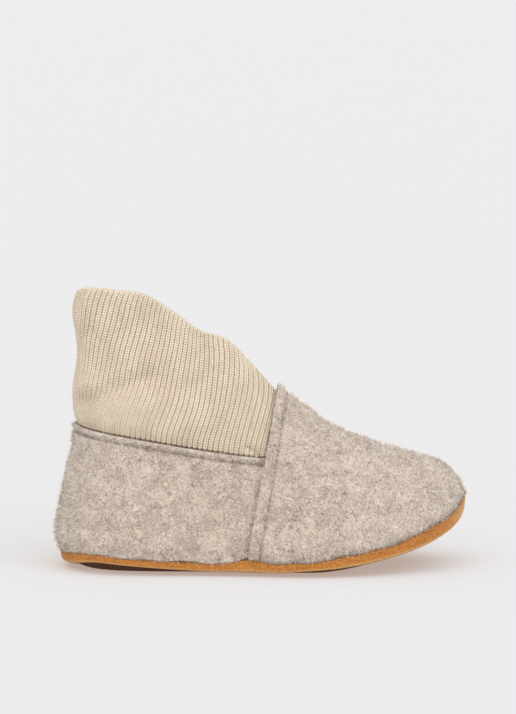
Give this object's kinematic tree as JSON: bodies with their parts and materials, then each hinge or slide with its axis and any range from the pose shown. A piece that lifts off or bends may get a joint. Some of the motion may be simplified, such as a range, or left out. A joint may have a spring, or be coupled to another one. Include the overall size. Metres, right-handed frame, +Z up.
{
  "type": "baby slipper",
  "caption": "Soft baby bootie slipper: felt vamp and quarter, tall rib-knit cuff with a sloping rim, thin suede sole rolled up at its edge, open at the collar for a foot.",
  "frame": {"origin": "on the floor plane, under the middle of the slipper's bounding box", "axes": "+X from heel to toe, +Y to the wearer's left (the big-toe side of this right slipper), +Z up"},
  "size_m": [0.1284, 0.0574, 0.0868],
  "materials": {
    "felt": "heathered oatmeal wool felt with a short nap",
    "knit": "ecru fine rib knit",
    "suede": "tan suede",
    "lining": "pale wool felt"
  },
  "bodies": {
    "root": {"upper": "felt", "cuff": "knit", "outsole": "suede", "insole": "lining"}
  },
  "joints": []
}
